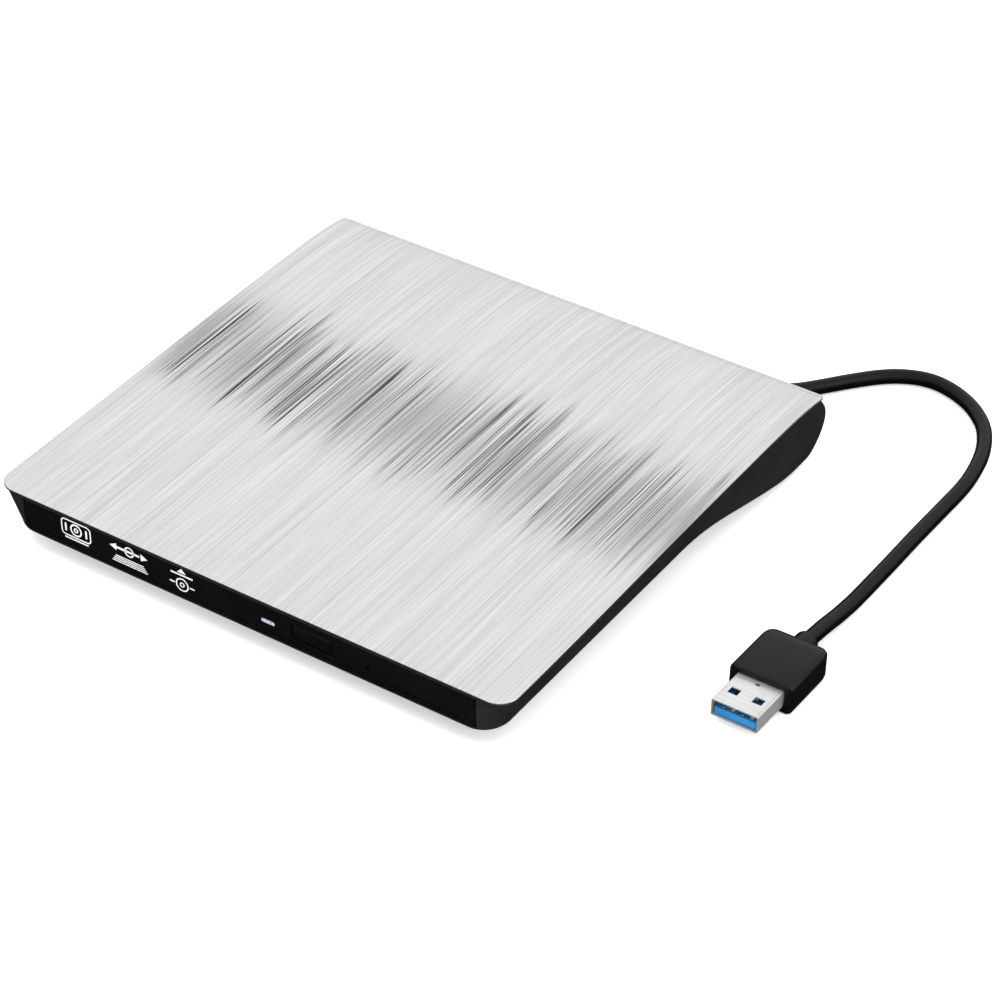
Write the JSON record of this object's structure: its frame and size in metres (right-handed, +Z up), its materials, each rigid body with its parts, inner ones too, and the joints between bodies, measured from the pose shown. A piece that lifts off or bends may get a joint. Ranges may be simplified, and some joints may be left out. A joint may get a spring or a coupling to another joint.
{
  "type": "external optical drive",
  "caption": "Slim external disc drive with a brushed metal top, black wedge case with a rear bulge, sliding disc tray and a short fixed USB cable.",
  "frame": {"origin": "Middle of the drive's own box, without its cable, at the height of the surface that its feet stand on.", "axes": "+Z up; the tray opens towards -Y, leaning 2.09 degrees down with the case; +X is to the right seen from the front; the cable leaves the rear near +X."},
  "size_m": [0.188, 0.1894, 0.0218],
  "materials": {
    "top_skin": "brushed front to back, satin",
    "case_plastic": "fine-grained moulded black",
    "bezel_plastic": "smooth moulded black",
    "tray_plastic": "moulded black",
    "foot_rubber": "matt black rubber",
    "cable_jacket": "satin black flexible jacket",
    "sheet_steel": "plain plated sheet",
    "bright_steel": "bright plated or ground steel",
    "screw_steel": "blackened steel",
    "circuit_board": "green solder mask",
    "chip_epoxy": "black epoxy",
    "light_window": "translucent light guide",
    "lens_glass": "coated lens",
    "usb_blue": "blue insulator"
  },
  "bodies": {
    "root": {"top_plate": "top_skin", "upper_frame": "case_plastic", "lower_shell": "case_plastic", "foot_front_left": "foot_rubber", "foot_front_right": "foot_rubber", "foot_rear_left": "foot_rubber", "foot_rear_right": "foot_rubber", "case_screw_left": "screw_steel", "case_screw_right": "screw_steel", "bridge_board": "circuit_board", "bridge_chip": "chip_epoxy", "sata_socket": "case_plastic", "cable_strain_relief": "cable_jacket", "usb_cable": "cable_jacket", "plug_overmould": "cable_jacket", "plug_shell": "bright_steel", "plug_tongue": "usb_blue", "drive_chassis": "sheet_steel", "drive_top_cover": "sheet_steel", "outer_rail_left": "bright_steel", "outer_rail_right": "bright_steel", "drive_sata_plug": "case_plastic", "latch_post": "bright_steel"},
    "tray_body": {"tray": "tray_plastic", "tray_bezel": "bezel_plastic", "led_window": "light_window", "eject_switch": "chip_epoxy", "tray_bottom_plate": "sheet_steel", "tray_board": "circuit_board", "controller_chip": "chip_epoxy", "motor_driver_chip": "chip_epoxy", "traverse_frame": "sheet_steel", "guide_rod_main": "bright_steel", "guide_rod_sub": "bright_steel", "sled_motor": "sheet_steel", "spindle_motor": "sheet_steel", "latch_pin": "bright_steel", "latch_solenoid": "sheet_steel"},
    "left_slide_rail": {"slide_rail_left": "bright_steel"},
    "right_slide_rail": {"slide_rail_right": "bright_steel"},
    "eject_button_body": {"eject_button": "bezel_plastic"},
    "spindle": {"spindle_hub": "tray_plastic", "hub_friction_ring": "foot_rubber"},
    "claw_1": {"disc_claw_1": "tray_plastic"},
    "claw_2": {"disc_claw_2": "tray_plastic"},
    "claw_3": {"disc_claw_3": "tray_plastic"},
    "sled": {"pickup_sled": "tray_plastic", "lens_yoke": "bright_steel"},
    "lens": {"lens_holder": "tray_plastic", "objective_lens": "lens_glass"},
    "lead_screw_body": {"lead_screw": "bright_steel"},
    "latch": {"latch_hook": "tray_plastic"},
    "plunger": {"solenoid_plunger": "bright_steel"}
  },
  "joints": [
    {"name": "tray_slide", "type": "slide", "parent": "root", "child": "tray_body", "axis": [0, -0.9993, -0.0364], "range_m": [0, 0.124]},
    {"name": "left_rail_slide", "type": "slide", "parent": "root", "child": "left_slide_rail", "axis": [0, -0.9993, -0.0364], "range_m": [0, 0.062]},
    {"name": "right_rail_slide", "type": "slide", "parent": "root", "child": "right_slide_rail", "axis": [0, -0.9993, -0.0364], "range_m": [0, 0.062]},
    {"name": "eject_button_press", "type": "slide", "parent": "tray_body", "child": "eject_button_body", "axis": [0, 0.9993, 0.0364], "range_m": [0, 0.0007], "stiffness_N_per_m": 600},
    {"name": "spindle_spin", "type": "hinge", "parent": "tray_body", "child": "spindle", "pos_m": [0, -0.0063, 0.01316], "axis": [0, -0.0364, 0.9993], "continuous": true},
    {"name": "claw_1_press", "type": "slide", "parent": "spindle", "child": "claw_1", "axis": [0, -0.9993, -0.0364], "range_m": [0, 0.0007], "stiffness_N_per_m": 150},
    {"name": "claw_2_press", "type": "slide", "parent": "spindle", "child": "claw_2", "axis": [0.866, 0.4997, 0.0182], "range_m": [0, 0.0007], "stiffness_N_per_m": 150},
    {"name": "claw_3_press", "type": "slide", "parent": "spindle", "child": "claw_3", "axis": [-0.866, 0.4997, 0.0182], "range_m": [0, 0.0007], "stiffness_N_per_m": 150},
    {"name": "sled_travel", "type": "slide", "parent": "tray_body", "child": "sled", "axis": [-0.7071, -0.7066, -0.0258], "range_m": [0, 0.0325]},
    {"name": "lens_focus", "type": "slide", "parent": "sled", "child": "lens", "axis": [0, -0.0364, 0.9993], "range_m": [-0.0004, 0.0004], "stiffness_N_per_m": 60},
    {"name": "lead_screw_turn", "type": "hinge", "parent": "tray_body", "child": "lead_screw_body", "pos_m": [-0.00969, -0.03895, 0.01012], "axis": [-0.7071, -0.7066, -0.0258], "range_deg": [-5, 3905]},
    {"name": "latch_swing", "type": "hinge", "parent": "tray_body", "child": "latch", "pos_m": [0.0486, -0.06315, 0.00809], "axis": [0, -0.0364, 0.9993], "range_deg": [-22, 0.5]},
    {"name": "solenoid_pull", "type": "slide", "parent": "tray_body", "child": "plunger", "axis": [1, 0, 0], "range_m": [0, 0.00195], "stiffness_N_per_m": 40}
  ],
  "couplings": [
    {"joint": "left_rail_slide", "follows": "tray_slide", "ratio": 0.5},
    {"joint": "right_rail_slide", "follows": "tray_slide", "ratio": 0.5},
    {"joint": "lead_screw_turn", "follows": "sled_travel", "rad_per_m": 2094.4},
    {"joint": "latch_swing", "follows": "solenoid_pull", "rad_per_m": -196}
  ]
}
